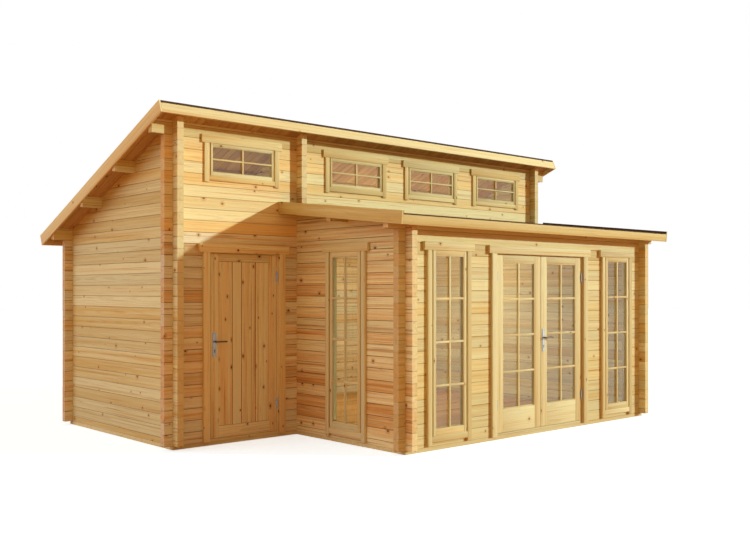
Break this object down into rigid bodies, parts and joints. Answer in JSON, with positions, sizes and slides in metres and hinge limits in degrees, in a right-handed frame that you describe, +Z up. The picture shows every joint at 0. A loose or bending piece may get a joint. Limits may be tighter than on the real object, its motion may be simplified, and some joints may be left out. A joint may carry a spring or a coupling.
{
  "type": "log cabin",
  "caption": "Log cabin with a tall block holding a storage room, a lower garden room in front, two single-pitch roofs, clerestory windows and glazed double doors.",
  "frame": {"origin": "middle of the roofs' outline in plan, at the underside of the foundation beams", "axes": "+X along the front to the right as seen from the garden, +Y to the back, +Z up"},
  "size_m": [6.24, 4.711, 3.4528],
  "materials": {
    "pine_logs": "planed, clear stain",
    "pine_boards": "planed boards",
    "pine_joinery": "planed, clear stain",
    "roofing_felt": "mineral felt",
    "window_glass": "clear",
    "hardware_steel": "satin"
  },
  "bodies": {
    "cabin": {"foundation_beams": "pine_logs", "floor_joists": "pine_boards", "storage_floor": "pine_boards", "garden_room_floor": "pine_boards", "left_wall": "pine_logs", "back_wall": "pine_logs", "right_wall": "pine_logs", "dividing_wall": "pine_logs", "storage_front_wall": "pine_logs", "clerestory_wall": "pine_logs", "garden_front_wall": "pine_logs", "upper_purlins": "pine_logs", "upper_roof_deck": "pine_boards", "upper_roof_felt": "roofing_felt", "upper_fascias": "pine_joinery", "upper_barge_boards": "pine_joinery", "lower_purlins": "pine_logs", "lower_roof_deck": "pine_boards", "lower_roof_felt": "roofing_felt", "lower_fascia": "pine_joinery", "lower_barge_boards": "pine_joinery", "clerestory_window_frames": "pine_joinery", "clerestory_window_sashes": "pine_joinery", "clerestory_window_glass": "window_glass", "tall_window_frames": "pine_joinery", "tall_window_sashes": "pine_joinery", "tall_window_glass": "window_glass", "storage_door_frame": "pine_joinery", "garden_door_frame": "pine_joinery", "hinge_pins": "hardware_steel"},
    "storage_door": {"storage_door_leaf": "pine_joinery", "storage_door_panel": "pine_joinery", "storage_door_plates": "hardware_steel", "storage_door_sleeves": "hardware_steel"},
    "storage_lever": {"storage_door_lever": "hardware_steel"},
    "left_garden_door": {"left_garden_leaf": "pine_joinery", "left_garden_glass": "window_glass", "left_garden_sleeves": "hardware_steel"},
    "right_garden_door": {"right_garden_leaf": "pine_joinery", "right_garden_glass": "window_glass", "right_garden_plates": "hardware_steel", "right_garden_sleeves": "hardware_steel"},
    "right_garden_lever_body": {"right_garden_lever": "hardware_steel"}
  },
  "joints": [
    {"name": "storage_door_hinge", "type": "hinge", "parent": "cabin", "child": "storage_door", "pos_m": [-1.596, -0.39533, 1.063], "axis": [0, 0, 1], "range_deg": [0, 90]},
    {"name": "left_garden_door_hinge", "type": "hinge", "parent": "cabin", "child": "left_garden_door", "pos_m": [0.03199, -2.14533, 1.063], "axis": [0, 0, -1], "range_deg": [0, 110]},
    {"name": "right_garden_door_hinge", "type": "hinge", "parent": "cabin", "child": "right_garden_door", "pos_m": [1.55699, -2.14533, 1.063], "axis": [0, 0, 1], "range_deg": [0, 110]},
    {"name": "storage_lever_turn", "type": "hinge", "parent": "storage_door", "child": "storage_lever", "pos_m": [-2.3855, -0.36633, 1.07], "axis": [0, 1, 0], "range_deg": [0, 40], "stiffness_Nm_per_rad": 0.9, "springref_deg": -28.65},
    {"name": "right_garden_lever_turn", "type": "hinge", "parent": "right_garden_door", "child": "right_garden_lever_body", "pos_m": [0.84049, -2.11633, 1.07], "axis": [0, 1, 0], "range_deg": [0, 40], "stiffness_Nm_per_rad": 0.9, "springref_deg": -28.65}
  ]
}
